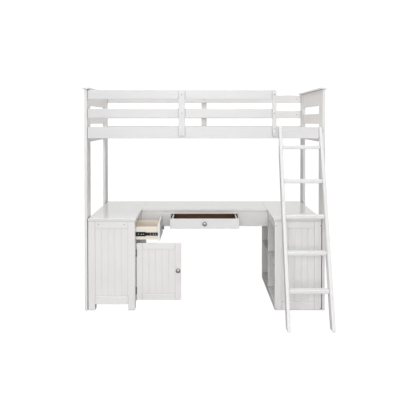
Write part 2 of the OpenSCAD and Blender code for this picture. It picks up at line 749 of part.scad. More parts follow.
case_mid = (cab_set + cab_back) / 2;
module bookcase_divider() color(white) difference() {
    board([xknee, case_mid - shelf_t / 2, case_floor_z], [xcab - side_t, case_mid + shelf_t / 2, desk_low]);
    board([xknee - eps, case_mid - shelf_t, desk_low - end_rail_h],
        [xknee + shelf_t, case_mid + shelf_t, desk_low + eps]);
}
module bookcase_shelves() color(white) {
    board([xknee, cab_set + frame_t, case_floor_z - shelf_t],
        [xcab - side_t, cab_back - frame_t, case_floor_z]);
    board([xknee + shelf_in, cab_set + frame_t, shelf_z - shelf_t],
        [xcab - side_t, case_mid - shelf_t / 2, shelf_z]);
    board([xknee + shelf_in, case_mid + shelf_t / 2, shelf_z - shelf_t],
        [xcab - side_t, cab_back - frame_t, shelf_z]);
}

// ---------------------------------------------------------------- drawers

// A knob turned about its own axis, standing on z = 0: foot, neck and domed head.
module knob_shape() {
    foot_r = knob_r * 0.5;
    neck_r = knob_r * 0.36;
    head_z = knob_out * 0.52;
    rotate_extrude() polygon([[0, 0], [foot_r, 0], [foot_r, 2], [neck_r, 5], [neck_r, head_z - 3],
        [knob_r - 2, head_z], [knob_r, head_z + 3], [knob_r - 1.5, head_z + 7],
        [knob_r * 0.6, knob_out - 1], [0, knob_out]]);
}

module middle_drawer_front() color(white)
    board([-mid_front_w / 2, mid_y, mid_front_z],
        [mid_front_w / 2, mid_y + front_t, mid_front_z + mid_front_h]);

// Four walls of a drawer box between two corners, open above and below.
module box_walls(a, b) {
    board(a, [a[0] + wall_t, b[1], b[2]]);
    board([b[0] - wall_t, a[1], a[2]], b);
    for (y = [a[1], b[1] - wall_t])
        board([a[0] + wall_t + seam, y, a[2]], [b[0] - wall_t - seam, y + wall_t, b[2]]);
}
module box_bottom(a, b) board([a[0] + wall_t, a[1] + wall_t, a[2] + bottom_up],
    [b[0] - wall_t, b[1] - wall_t, a[2] + bottom_up + bottom_t]);

mid_box_a = [-mid_box_w / 2, mid_y + front_t, mid_box_z];
mid_box_b = [mid_box_w / 2, mid_y + front_t + mid_len, mid_box_z + mid_box_h];
module middle_drawer_box() color("#a5805c") box_walls(mid_box_a, mid_box_b);
module middle_drawer_bottom() color("#6d4a34") box_bottom(mid_box_a, mid_box_b);
module middle_drawer_knob() color(steel)
    spot([0, mid_y, mid_front_z + mid_front_h / 2]) rotate([90, 0, 0]) knob_shape();

side_box_a = [side_x - front_t - side_len, bay_y + slide_w, side_box_z];
side_box_b = [side_x - front_t, bay_end - slide_w, side_box_z + side_box_h];
module side_drawer_front() color(white)
    board([side_x - front_t, bay_y + front_gap, side_front_z],
        [side_x, bay_end - front_gap, side_front_z + side_front_h]);
module side_drawer_box() color(cream) box_walls(side_box_a, side_box_b);
module side_drawer_bottom() color(cream) box_bottom(side_box_a, side_box_b);
module side_drawer_knob() color(steel)
    spot([side_x, (bay_y + bay_end) / 2, side_front_z + side_front_h / 2]) rotate([0, 90, 0]) knob_shape();

// Cross-sections of the three nested slide members, across the gap u and up v. The fixed
// member stands on u = 0 and the drawer member ends on the drawer's side.
slide_mid_u = slide_web + run;
slide_in_u = slide_mid_u + slide_web + run;
module channel(u, h, inner_h, far) difference() {
    translate([u, -h / 2]) square([far - u, h]);
    translate([u + slide_web, -inner_h / 2]) square([far, inner_h]);
}
module fixed_section() channel(0, slide_h, slide_mid_h + 2 * run, slide_w - lip_gap);
module centre_section() channel(slide_mid_u, slide_mid_h, slide_in_h + 2 * run, slide_w - lip_gap);
module inner_section() translate([slide_in_u, -slide_in_h / 2])
    square([slide_w - slide_in_u, slide_in_h]);

// Runs a section along +Y from p, with u pointing along +X or, for s = -1, along -X.
module slide_y(p, s, l) spot(p) mirror([s < 0 ? 1 : 0, 0, 0])
    rotate([90, 0, 0]) translate([0, 0, -l]) linear_extrude(l) children();
// Runs a section along -X from p, with u pointing along +Y or, for s = -1, along -Y.
module slide_x(p, s, l) spot(p) mirror([0, s < 0 ? 1 : 0, 0])
    rotate([90, 0, -90]) mirror([1, 0, 0]) linear_extrude(l) children();

mid_slide_x = mid_front_w / 2;
module middle_slide(y, l) for (s = [-1, 1])
    slide_y([s * mid_slide_x, y, mid_slide_z], -s, l) children();
module middle_slide_fixed() color(black) middle_slide(mid_slide_y, mid_len) fixed_section();
module middle_slide_centre() color(black)
    middle_slide(mid_slide_y - mid_out / 2, mid_len) centre_section();
module middle_slide_inner() color(black) middle_slide(mid_y + front_t, mid_len) inner_section();

module side_slide(x) {
    slide_x([x, bay_y, side_slide_z], 1, side_len) children();
    slide_x([x, bay_end, side_slide_z], -1, side_len) children();
}
module side_slide_fixed() color(black) side_slide(side_slide_x) fixed_section();
module side_slide_centre() color(black) side_slide(side_slide_x + side_out / 2) centre_section();
module side_slide_inner() color(black) side_slide(side_x - front_t) inner_section();

// ---------------------------------------------------------------- door

// Turns what is drawn for a shut door to its place at rest.
module swung() translate([pin_x, y0 + pin_y, 0]) rotate([0, 0, -door_open])
    translate([-pin_x, -y0 - pin_y, 0]) children();

door_y = pin_y + hinge_gap / 2;              // hinge edge of the shut door
door_x = ped_r - door_t;                     // inner face of the shut door
module door_frame() color(white) swung() {
    for (y = [door_y, door_y + door_w - door_frame_w])
        board([door_x, y, door_z], [ped_r, y + door_frame_w, door_z + door_h]);
    for (z = [door_z, door_z + door_h - door_frame_w])
        board([door_x, door_y + door_frame_w + seam, z],
            [ped_r, door_y + door_w - door_frame_w - seam, z + door_frame_w]);
}
module door_panel() color(white) swung() {
    y1 = door_y + door_frame_w;
    y2 = door_y + door_w - door_frame_w;
    xp = ped_r - door_bead_set;
    difference() {
        board([xp - bead_t, y1, door_z + door_frame_w], [xp, y2, door_z + door_h - door_frame_w]);
        for (i = [1 : bead_count])
            spot([xp, y1 + (y2 - y1) * i / (bead_count + 1), door_z]) linear_extrude(door_h)
                polygon([[0.01, -groove_w / 2], [0.01, groove_w / 2], [-groove_d, 0]]);
    }
}
module door_knob() color(steel) swung()
    spot([ped_r, door_y + door_w - door_frame_w / 2, door_z + door_h / 2 + door_knob_up])
        rotate([0, 90, 0]) knob_shape();

// Low ends of the hinges, and of the knuckle's three parts: fixed, door, fixed.
hinge_z = [door_z + hinge_in, door_z + door_h - hinge_in - hinge_h];
knuckle_h = hinge_h / 3;
module hinge_leaves() color(steel) for (z = hinge_z) {
    difference() {
        union() {
            board([ped_r - leaf_w, bay_y, z], [ped_r, bay_y + leaf_t, z + hinge_h]);
            for (k = [0, 2]) {
                board([ped_r - eps, bay_y, z + k * knuckle_h],
                    [pin_x, bay_y + leaf_t, z + (k + 1) * knuckle_h]);
                round_bar([pin_x, pin_y, z + k * knuckle_h], "z", knuckle_r, knuckle_h);
            }
        }
        round_bar([pin_x, pin_y, z - eps], "z", pin_r, hinge_h + 2 * eps);
    }
    round_bar([pin_x, pin_y, z], "z", pin_r, hinge_h);
}
module door_leaves() color(steel) swung() for (z = hinge_z) difference() {
    union() {
        board([ped_r - leaf_w, door_y - leaf_t, z], [ped_r, door_y, z + hinge_h]);
        board([ped_r - eps, door_y - leaf_t, z + knuckle_h + run],
            [pin_x, door_y, z + 2 * knuckle_h - run]);
        round_bar([pin_x, pin_y, z + knuckle_h + run], "z", knuckle_r, knuckle_h - 2 * run);
    }
    round_bar([pin_x, pin_y, z - eps], "z", pin_r + fit, hinge_h + 2 * eps);
}

catch_y = bay_end - catch_in;
strike_y = catch_y + (catch_w - strike_w) / 2;
strike_top = door_z + door_h - strike_t;
module door_catch() color(white)
    board([door_x - catch_gap - catch_d, catch_y, divide_z - catch_h],
        [door_x - catch_gap, catch_y + catch_w, divide_z]);
module door_strike() color(steel) swung()
    board([door_x - strike_t, strike_y, strike_top - strike_h], [door_x, strike_y + strike_w, strike_top]);

// ---------------------------------------------------------------- bolts and screws

// A bolt with a flat round head whose underside is at p; the shank runs along dir.
module bolt(p, dir, back_dir, l) union() {
    round_bar(p, dir, bolt_r, l);
    round_bar(p, back_dir, head_r, head_t);
}
// A barrel nut across a rail, drilled for the bolt.
module barrel_nut(x, back, z) difference() {
    ym = rail_mid(back);
    round_bar([x, ym + (back ? -1 : 1) * rail_t / 2, z], back ? "y" : "-y", nut_r, rail_t - nut_wall);
    round_bar([x - 2 * nut_r, ym, z], "x", bolt_r + fit, 4 * nut_r);
}
module frame_bolts() color(steel) {
    for (s = [-1, 1], back = [false, true], z = post_bolts(s, back)) on_side(s) {
        bolt([xout, rail_mid(back), z], "-x", "x", post_t + bolt_in + bolt_past);
        barrel_nut(xin - bolt_in, back, z);
    }
    for (k = [0, 1], z = desk_bolt_z) {
        bolt([-xout, desk_bolt_y[k], z], "x", "-x", post_t + frame_gap + leg_bolt);
        bolt([xout, desk_bolt_y[k], z], "-x", "x", post_t + frame_gap + side_t + nut_t + eps);
        difference() {
            round_bar([xcab - side_t, desk_bolt_y[k], z], "-x", 2 * bolt_r, nut_t);
            round_bar([xcab - side_t + eps, desk_bolt_y[k], z], "-x", bolt_r + fit, nut_t + 2 * eps);
        }
    }
}

// Bolts of the guard bars with a nut behind the rail, and the ladder's bolts.
module guard_bolts() color(steel) {
    for (b = bar_bolts) {
        bar_bolt(xbar, b, false);
        bar_bolt(0, b, true);
    }
    for (b = end_bar_bolts) bar_bolt(xend_bar, b, false);
    for (s = [-1, 1], z = ladder_bolts_z) ladder_bolt(s, z);
}
module bar_bolt(x, z, back) {
    front = back ? bed_depth - rail_y + bar_t : rail_y - bar_t;
    through = bar_t + rail_t;
    inner = front + (back ? -through : through);
    bolt([x, front, z], back ? "-y" : "y", back ? "y" : "-y", through + thin_nut_t + fit);
    difference() {
        round_bar([x, inner, z], back ? "-y" : "y", 2 * bolt_r, thin_nut_t);
        round_bar([x, inner - nut_t, z], "y", bolt_r + fit, 2 * nut_t);
    }
}
module ladder_bolt(s, z) {
    y = rail_y + rail_t + (z > ledger_z - head_r && z < slat_z + head_r ? ledger_t : 0);
    bolt([xstile(s) + stile_t / 2, y, z], "-y", "y", y - rail_y + tip_t + ladder_bolt_in);
}

// A countersunk screw from p along dir.
module screw(p, dir, l) union() {
    round_bar(p, dir, screw_r, l);
    round_bar(p, dir, screw_head_r, head_t);
}
module screws() color(steel) {
    for (s = [-1, 1], i = [0 : rung_count - 1], k = [-1, 1])
        screw([s < 0 ? xstile(-1) : xlad, rung_mid(i) + k * rung_screw_off, rung_low(i) + rung_t / 2],
            s < 0 ? "x" : "-x", stile_t + rung_screw);
    for (x = front_screws_x) flat_screws(x, front_screw_z, rail_screw);
    for (x = case_screws_x, z = case_screws_z) flat_screws(x, z, case_screw);
}
// A pair of screws in the front and back of a cabinet, their thin heads standing on the faces.
module flat_screws(x, z, l) {
    for (d = [["y", "-y", cab_set], ["-y", "y", cab_back]]) union() {
        round_bar([x, d[2], z], d[0], screw_r, l);
        round_bar([x, d[2], z], d[1], screw_head_r, flat_head_t);
    }
}

left_posts();
right_posts();
end_caps();
end_panels();
end_rails();
front_side_rail();
front_mid_guard();
front_top_guard();
back_side_rail();
back_mid_guard();
back_top_guard();
front_guard_bar();
ladder_guard_bar();
back_guard_bar();
slat_ledgers();
slats();
left_stile();
right_stile();
rungs();
desk_top_left();
desk_top_middle();
desk_top_right();
desk_apron();
desk_rails();
pedestal_legs();
pedestal_rails();
pedestal_beaded_ends();
pedestal_side_panels();
pedestal_partition();
pedestal_floor();
bookcase_frames();
bookcase_beaded_ends();
bookcase_back();
bookcase_rails();
bookcase_divider();
bookcase_shelves();
middle_drawer_front();
middle_drawer_box();
middle_drawer_bottom();
middle_drawer_knob();
middle_slide_fixed();
middle_slide_centre();
middle_slide_inner();
side_drawer_front();
side_drawer_box();
side_drawer_bottom();
side_drawer_knob();
side_slide_fixed();
side_slide_centre();
side_slide_inner();
door_frame();
door_panel();
door_knob();
door_leaves();
door_strike();
hinge_leaves();
door_catch();
frame_bolts();
guard_bolts();
screws();
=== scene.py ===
"""Loft bed with desk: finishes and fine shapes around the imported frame."""
import json
import math
import bmesh
import bpy
from bpy.props import (
    FloatProperty, FloatVectorProperty, IntProperty, PointerProperty,
)
from mathutils import Matrix, Vector


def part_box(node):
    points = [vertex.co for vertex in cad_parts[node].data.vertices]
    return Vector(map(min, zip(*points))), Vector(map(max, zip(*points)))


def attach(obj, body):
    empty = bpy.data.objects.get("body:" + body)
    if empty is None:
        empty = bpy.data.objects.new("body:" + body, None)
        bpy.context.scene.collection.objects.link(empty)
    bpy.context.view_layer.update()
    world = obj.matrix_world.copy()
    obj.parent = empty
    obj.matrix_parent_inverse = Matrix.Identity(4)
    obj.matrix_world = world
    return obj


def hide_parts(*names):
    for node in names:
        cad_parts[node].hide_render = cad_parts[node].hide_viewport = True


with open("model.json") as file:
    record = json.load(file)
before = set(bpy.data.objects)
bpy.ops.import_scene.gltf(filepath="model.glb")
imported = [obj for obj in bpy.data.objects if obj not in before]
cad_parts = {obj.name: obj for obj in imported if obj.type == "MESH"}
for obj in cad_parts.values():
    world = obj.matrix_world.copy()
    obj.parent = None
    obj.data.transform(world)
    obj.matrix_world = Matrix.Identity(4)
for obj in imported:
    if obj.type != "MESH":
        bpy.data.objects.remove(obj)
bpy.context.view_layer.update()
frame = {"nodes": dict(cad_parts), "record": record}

bl_info = {
    "name": "Loft bed with desk",
    "version": (1, 0, 0),
    "blender": (4, 5, 0),
    "location": "View3D > Sidebar > Loft bed",
    "description": "Gives a packed loft bed its painted boards, knobs, slides and bolts",
    "category": "Object",
}

MM = 0.001
WELD = 0.01 * MM                    # points closer than this are one point
FLAT_ANGLE = math.radians(0.3)      # triangles that meet below this are one face
SHARP_ANGLE = math.radians(30)      # boards are rounded where their faces turn more
SHORTEST_EDGE = 8 * MM              # and where the edge is longer than this
SMOOTH_ANGLE = math.radians(34)     # shading runs across edges below this
JOINT_SHADE_REACH = 10 * MM               # how far the painted shade reaches out from where parts meet
PALE_LIT_RIM = 1 * MM                   # depth of the pale upper edge of the brown boards, kept light like a lit top edge while their faces carry painted shade


# ------------------------------------------------------------------ settings

def length(name, text, value):
    """A size in millimetres that a user can change."""
    return FloatProperty(
        name=name, description=text + ", in mm", default=value, min=0.0, max=50.0)


def colour(name, text, value):
    """A linear colour that a user can change."""
    return FloatVectorProperty(
        name=name, description=text, default=value, size=3, min=0.0, max=1.0, subtype="COLOR")


class LOFT_PG_sizes(bpy.types.PropertyGroup):
    """Sizes of the fine shapes, in millimetres."""
    rail_edge: length("Rail edge", "Rounding of the rails, guard bars and ladder stiles", 3.0)
    post_edge: length("Post edge", "Rounding of the posts, caps, end boards and slats", 2.5)
    board_edge: length("Board edge", "Rounding of the cabinet, drawer and small boards", 1.6)
    frame_edge: length("Frame edge", "Rounding of the frames around the panels", 3.0)
    desk_edge: length("Desk edge", "Rounding of the desk top", 2.5)
    groove_edge: length("Groove edge", "Rounding of the lips of the panel grooves", 0.7)
    metal_edge: length("Metal edge", "Rounding of the sheet metal", 0.25)
    edge_steps: IntProperty(
        name="Edge steps", description="Faces across a rounded edge", default=3, min=1, max=8)
    knob_steps: IntProperty(
        name="Knob steps", description="Faces around a knob", default=64, min=12, max=128)


class LOFT_PG_colours(bpy.types.PropertyGroup):
    """Linear colours of the finishes."""
    paint: colour("Paint", "White satin paint", (0.88, 0.874, 0.870))
    desk: colour("Desk", "Smooth white lacquer", (0.86, 0.855, 0.84))
    wood: colour("Wood", "Pale pine", (0.98, 0.93, 0.85))
    wood_mid: colour("Wood, grain", "Grain of the pine", (0.96, 0.88, 0.76))
    wood_dark: colour("Wood, late", "Dark lines of the pine", (0.86, 0.74, 0.58))
    # painted shade: the plywood's own lighter tone darkened to the look of the drawer's shaded
    # inside
    brown_with_shade: colour("Brown board", "Plywood of the middle drawer", (0.36, 0.235, 0.145))
    brown_dark_with_shade: colour("Brown board, grain", "Its dark grain", (0.20, 0.110, 0.060))
    nickel: colour("Nickel", "Brushed nickel of the knobs", (0.42, 0.41, 0.39))
    zinc: colour("Zinc", "Plated bolts and screws", (0.52, 0.52, 0.51))
    rivet: colour("Rivets", "Bright rivets of the slides", (0.88, 0.88, 0.87))
    hinge: colour("Hinge steel", "Dark plated hinges", (0.07, 0.07, 0.075))
    # painted shade: the colour that joints go over to, standing for the shade in them
    joint: colour("Joint", "Paint deep in the joints", (0.13, 0.12, 0.115))
    # painted shade: the colour that panel grooves go over to, standing for the shade in them
    groove: colour("Groove", "Paint deep in the grooves of a panel", (0.60, 0.57, 0.565))
    # painted shade: a darker copy of the one white paint, for the rails and guard bars
    rail: colour("Rail paint", "White paint of the rails and guard bars", (0.785, 0.778, 0.785))
    # painted light: a lighter, pinker copy of the one white paint, for the cabinets
    panel: colour("Panel paint", "White paint of the cabinets", (0.905, 0.878, 0.880))
    black: colour("Black steel", "Drawer slides", (0.010, 0.010, 0.011))


class LOFT_PG_stage(bpy.types.PropertyGroup):
    """The camera and the light."""
    place: FloatVectorProperty(
        name="Camera", description="Where the camera stands", subtype="TRANSLATION", unit="LENGTH",
        default=(-0.0342, -5.1253, 1.5679))
    pitch: FloatProperty(
        name="Pitch", description="How far the camera looks down", subtype="ANGLE",
        default=math.radians(0.96))
    yaw: FloatProperty(
        name="Yaw", description="How far the camera turns to the right", subtype="ANGLE",
        default=math.radians(0.117))
    lens: FloatProperty(
        name="Lens", description="Focal length", default=50.42, unit="CAMERA")
    shift: FloatVectorProperty(
        name="Shift", description="Shift of the lens", size=2, default=(0.0193, -0.1893))
    sky: FloatProperty(name="Sky", description="Strength of the even light", default=0.375)
    mirrored: FloatProperty(
        name="Mirrored sky", description="Strength of the sky in gloss", default=0.86)
    key: FloatProperty(name="Key", description="Power of the front light in watts", default=126.0)
    top: FloatProperty(name="Top", description="Power of the high light in watts", default=60.0)
    side: FloatProperty(name="Side", description="Power of each side light in watts", default=12.0)


def sizes():
    """The sizes in use."""
    return bpy.context.scene.loft_sizes


def colours():
    """The colours in use."""
    return bpy.context.scene.loft_colours


# ------------------------------------------------------------------ finishes

class Value:
    """A shader socket that takes part in sums."""

    def __init__(self, finish, socket):
        self.finish = finish
        self.socket = socket

    def _sum(self, operation, a, b):
        return self.finish.node("ShaderNodeMath", {"operation": operation}, (a, b))

    def __add__(self, other):
        return self._sum("ADD", self, other)

    __radd__ = __add__

    def __mul__(self, other):
        return self._sum("MULTIPLY", self, other)

    __rmul__ = __mul__

    def __pow__(self, other):
        return self._sum("POWER", self, other)


class Finish:
    """One material, built around its surface shader."""

    def __init__(self, name, **constants):
        self.material = bpy.data.materials.new(name)
        self.material.use_nodes = True
        self.tree = self.material.node_tree
        self.shader = self.tree.nodes["Principled BSDF"]
        for key, value in constants.items():
            self.shader.inputs[key.replace("_", " ")].default_value = value

    def node(self, kind, settings=None, inputs=(), output=0):
        """Adds a node: its settings first, then the values or links of its sockets."""
        made = self.tree.nodes.new(kind)
        for key, value in (settings or {}).items():
            if key == "stops":
                ramp = made.color_ramp
                while len(ramp.elements) < len(value):
                    ramp.elements.new(1.0)
                for element, (place, tint) in zip(ramp.elements, value):
                    element.position = place
                    element.color = (*tint, 1.0)
            else:
                setattr(made, key, value)
        pairs = inputs.items() if isinstance(inputs, dict) else enumerate(inputs)
        for key, value in pairs:
            if isinstance(value, Value):
                self.tree.links.new(value.socket, made.inputs[key])
            else:
                made.inputs[key].default_value = value
        return Value(self, made.outputs[output])

    def feed(self, name, value):
        """Links a value to a socket of the surface shader."""
        self.tree.links.new(value.socket, self.shader.inputs[name])
        return self

    def place(self, scale=(1, 1, 1), centre=(0, 0, 0)):
        """Object coordinates about a centre, stretched."""
        at = self.node("ShaderNodeTexCoord", output="Object")
        moved = self.node(
            "ShaderNodeVectorMath", {"operation": "SUBTRACT"}, (at, centre))
        return self.node("ShaderNodeMapping", inputs={"Vector": moved, "Scale": scale})

    def noise(self, vector, scale, detail=3.0, rough=0.5, distortion=0.0):
        """Cloudy values about a half."""
        return self.node("ShaderNodeTexNoise", inputs={
            "Vector": vector, "Scale": scale, "Detail": detail,
            "Roughness": rough, "Distortion": distortion})

    def blend(self, factor, a, b):
        """A colour between a and b."""
        return self.node("ShaderNodeMix", {"data_type": "RGBA"},
                         {0: factor, 6: (*a, 1) if not isinstance(a, Value) else a,
                          7: (*b, 1) if not isinstance(b, Value) else b}, output=2)

    def ramp(self, factor, *stops):
        """A colour for each place on a scale from 0 to 1."""
        return self.node("ShaderNodeValToRGB", {"stops": stops}, (factor,))

    def joints(self, reach):
        """1 on open faces, falling towards 0 deep in the joints between boards; it sets where
        shade is painted.
        """
        return self.node(
            "ShaderNodeAmbientOcclusion", {"samples": 8}, {"Distance": reach}, output="AO")

    def painted_joint_shade(self, deep, face):
        """The colour of a face, going over to another deep in the joints: painted shade where
        shade falls.
        """
        # painted shade: ambient occlusion darkens the colour in joints and grooves
        open_face = self.ramp(
            self.joints(JOINT_SHADE_REACH), (0.20, (0, 0, 0)), (0.88, (1, 1, 1)))
        return self.blend(open_face, deep, face)

    def bump(self, height, strength, depth):
        """Feeds the normal with a height, given in metres at full strength."""
        normal = self.node("ShaderNodeBump", inputs={
            "Strength": strength, "Distance": depth, "Height": height})
        return self.feed("Normal", normal)


# How a board's grain is stretched along each axis.
GRAIN = {"x": (3.0, 60.0, 60.0), "y": (60.0, 3.0, 60.0), "z": (60.0, 60.0, 3.0)}


def paint_finish(name, axis, tint, deep):
    """White satin paint over sanded wood, with its faint grain along one axis and painted shade in
    its joints.
    """
    f = Finish(name, Coat_Weight=0.10, Coat_Roughness=0.25)
    along = f.place(GRAIN[axis])
    grain = f.noise(along, 3.0, 5.0, 0.6, 0.3)
    lines = f.noise(along, 11.0, 3.0, 0.7)
    mottle = f.noise(f.place(), 2.6, 2.0)
    peel = f.noise(f.place(), 420.0, 2.0)
    tone = grain * 0.45 + mottle * 0.55
    patches = f.ramp(tone, (0.32, (0, 0, 0)), (0.60, (1, 1, 1)))
    paint = f.blend(patches, tuple(0.935 * v for v in tint), tint)
    # painted shade: the paint goes over to the deep colour in joints and grooves
    f.feed("Base Color", f.painted_joint_shade(deep, paint))
    f.feed("Roughness", 0.30 + lines * 0.16 + mottle * 0.08)
    return f.bump(grain * 0.6 + lines * 0.25 + peel * 0.15, 0.35, 0.25 * MM).material


def desk_finish():
    """Smooth white lacquer on board, glossier than the paint, with painted shade in its joints."""
    c = colours()
    f = Finish("desk_lacquer", Coat_Weight=0.65, Coat_Roughness=0.06, Specular_IOR_Level=0.6)
    mottle = f.noise(f.place(), 2.2, 3.0)
    peel = f.noise(f.place(), 150.0, 2.0)
    rub = f.noise(f.place((30, 4, 30)), 4.0, 4.0, 0.6)
    lacquer = f.blend(mottle, tuple(v * 0.965 for v in c.desk), c.desk)
    # painted shade: the lacquer goes over to the shade colour where other parts meet it
    f.feed("Base Color", f.painted_joint_shade(c.joint, lacquer))
    f.feed("Roughness", 0.14 + rub * 0.10)
    return f.bump(peel * 0.6 + rub * 0.4, 0.10, 0.10 * MM).material


def wood_finish(name, axis, seed):
    """Pale pine with growth lines that run along one axis."""
    c = colours()
    f = Finish(name, Coat_Weight=0.15, Coat_Roughness=0.3)
    stretch = {"x": (1.2, 17.0, 17.0), "y": (17.0, 1.2, 17.0)}[axis]
    along = f.place(stretch, centre=(seed, seed, seed))
    bend = f.noise(along, 1.3, 2.0)
    rings = f.node("ShaderNodeTexWave", {"bands_direction": "DIAGONAL", "wave_profile": "SAW"}, {
        "Vector": along, "Scale": 0.9, "Distortion": 5.5, "Detail": 2.0, "Detail Scale": 1.1},
        output="Fac")
    fibre = f.noise(f.place(tuple(6 * v for v in stretch)), 3.0, 4.0, 0.65)
    board = f.noise(f.place({"x": (0.0, 7.0, 7.0), "y": (7.0, 0.0, 0.0)}[axis]), 3.0, 1.0)
    tint = f.ramp(
        rings * 0.62 + bend * 0.38,
        (0.18, c.wood), (0.58, c.wood_mid), (0.95, c.wood_dark))
    tint = f.blend(fibre * 0.5, tint, c.wood)
    f.feed("Base Color", f.blend(board * 0.35, tint, c.wood_mid))
    f.feed("Roughness", 0.42 + fibre * 0.22)
    return f.bump(fibre * 0.6 + rings * 0.4, 0.35, 0.25 * MM).material


def shaded_brown_finish(edge_z):
    """Brown plywood with a matt, fibrous face, darker than the real board by painted shade of the
    drawer's shaded inside; its upper edges are pale, like lit top edges.
    """
    c = colours()
    f = Finish("brown_board", Specular_IOR_Level=0.0)
    along = f.place((3.0, 40.0, 40.0))
    streak = f.noise(along, 3.0, 5.0, 0.65, 0.4)
    speck = f.noise(f.place(), 260.0, 2.0)
    height = f.node("ShaderNodeSeparateXYZ", inputs=(f.place(centre=(0, 0, edge_z)),), output="Z")
    # painted shade: the face is darker than the plywood, as the drawer's shaded inside
    face = f.blend(streak * 0.8 + speck * 0.2, c.brown_dark_with_shade, c.brown_with_shade)
    # painted light: the top millimetre stays pale, like a lit top edge
    rim = f.ramp(height * 500.0 + 0.5, (0.0, (0, 0, 0)), (0.1, (1, 1, 1)))
    f.feed("Base Color", f.blend(rim, face, c.wood))
    f.feed("Roughness", 0.62 + speck * 0.2)
    return f.bump(streak * 0.5 + speck * 0.5, 0.4, 0.2 * MM).material


def nickel_finish(name, centre, axis, knob_radius):
    """Brushed nickel, turned about a knob's own axis, with a painted dark ring of shade and
    reflection over its ring groove.
    """
    c = colours()
    f = Finish(name, Metallic=1.0)
    at = f.place(centre=centre)
    x, y, z = (f.node("ShaderNodeSeparateXYZ", inputs=(at,), output=way) for way in "XYZ")
    a, b = (x, z) if axis == "y" else (y, z)
    radius = (a * a + b * b) ** 0.5
    turned = f.node("ShaderNodeCombineXYZ", inputs=(radius * 900.0, 0.0, 0.0))
    rings = f.noise(turned, 1.0, 4.0, 0.7)
    smear = f.noise(at, 90.0, 2.0)
    # painted shade and reflection: the darker nickel of the ring
    dark = tuple(0.30 * v for v in c.nickel)
    # painted shade and reflection: darkens the ring groove and the inner slope of the rim
    groove = f.ramp(
        radius * (1 / knob_radius), (0.0, (0, 0, 0)), (0.70, (0.1, 0.1, 0.1)),
        (0.78, (1, 1, 1)), (0.86, (0.5, 0.5, 0.5)))
    f.feed("Base Color", f.blend(groove * 0.8 + smear * 0.2, c.nickel, dark))
    f.feed("Roughness", 0.20 + rings * 0.18)
    return f.bump(rings, 0.25, 0.05 * MM).material


def plated_finish(name, tint):
    """Plated steel with a fine spangle."""
    f = Finish(name, Metallic=1.0)
    flakes = f.node("ShaderNodeTexVoronoi", {"feature": "F1"}, {
        "Vector": f.place(), "Scale": 420.0}, output="Distance")
    haze = f.noise(f.place(), 60.0, 3.0)
    f.feed("Base Color", f.blend(haze, tuple(0.78 * v for v in tint), tuple(tint)))
    f.feed("Roughness", 0.28 + flakes * 0.12 + haze * 0.10)
    return f.bump(flakes, 0.15, 0.05 * MM).material


def black_finish():
    """Black plated sheet with a dull sheen."""
    c = colours()
    f = Finish("black_steel", Specular_IOR_Level=0.10)
    haze = f.noise(f.place(), 40.0, 4.0)
    roll = f.noise(f.place((20, 20, 400)), 2.0, 3.0)
    f.feed("Base Color", f.blend(haze, c.black, tuple(2.6 * v for v in c.black)))
    f.feed("Roughness", 0.32 + roll * 0.22)
    return f.bump(roll, 0.2, 0.06 * MM).material


def plastic_finish():
    """White moulded plastic with a fine spark texture."""
    f = Finish("white_plastic")
    spark = f.noise(f.place(), 700.0, 2.0)
    tone = f.noise(f.place(), 12.0, 2.0)
    f.feed("Base Color", f.blend(tone, (0.72, 0.72, 0.70), (0.80, 0.80, 0.78)))
    f.feed("Roughness", 0.40 + spark * 0.15)
    return f.bump(spark, 0.3, 0.08 * MM).material


MAKERS = {
    "paint_x": lambda: paint_finish("paint_x", "x", colours().paint, colours().joint),
    "paint_y": lambda: paint_finish("paint_y", "y", colours().paint, colours().joint),
    "paint_z": lambda: paint_finish("paint_z", "z", colours().paint, colours().joint),
    # rails and bars take the darker copy of the white paint (painted shade), cabinets and panels
    # the lighter one (painted light)
    "rail": lambda: paint_finish("rail", "x", colours().rail, colours().joint),
    "bar": lambda: paint_finish("bar", "z", colours().rail, colours().joint),
    "cabinet": lambda: paint_finish("cabinet", "z", colours().panel, colours().joint),
    "panel": lambda: paint_finish("panel", "z", colours().panel, colours().groove),
    "desk": desk_finish,
    "slat_wood": lambda: wood_finish("slat_wood", "y", 0.37),
    "box_wood": lambda: wood_finish("box_wood", "x", 1.91),
    "brown_with_shade": lambda: shaded_brown_finish(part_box("middle_drawer_box")[1].z - PALE_LIT_RIM),
    "zinc": lambda: plated_finish("zinc_plate", colours().zinc),
    "rivet": lambda: plated_finish("rivet_steel", colours().rivet),
    "hinge": lambda: plated_finish("hinge_steel", colours().hinge),
    "black": black_finish,
    "plastic": plastic_finish,
}
made_finishes = {}


def finish(name):
    """A finish by its name, made the first time it is asked for."""
    if name not in made_finishes:
        made_finishes[name] = MAKERS[name]()
    return made_finishes[name]


# ------------------------------------------------------------------ shapes

def body_of(node):
    """The body that a CAD node belongs to."""
    for body, members in frame["record"]["behaviour"]["bodies"].items():
        if node in members:
            return body
    raise RuntimeError("no body holds " + node)


def slot_of(node):
    """The record's material slot of a CAD node."""
    for part in frame["record"]["subparts"]:
        if part["node"] == node:
            return part["material_slot"]
    raise RuntimeError("no slot for " + node)


def whole_shape(node):
    """A CAD node's shape with its loose triangles joined into whole faces."""
    bm = bmesh.new()
    bm.from_mesh(frame["nodes"][node].data)
    bmesh.ops.remove_doubles(bm, verts=bm.verts, dist=WELD)
    bmesh.ops.dissolve_limit(
        bm, angle_limit=FLAT_ANGLE, verts=bm.verts, edges=bm.edges)
    return bm


def sharp_edges(bm):
    """The outward edges of a shape that a router would round."""
    return [e for e in bm.edges if len(e.link_faces) == 2 and e.is_convex
            and e.calc_face_angle(0) > SHARP_ANGLE and e.calc_length() > SHORTEST_EDGE]


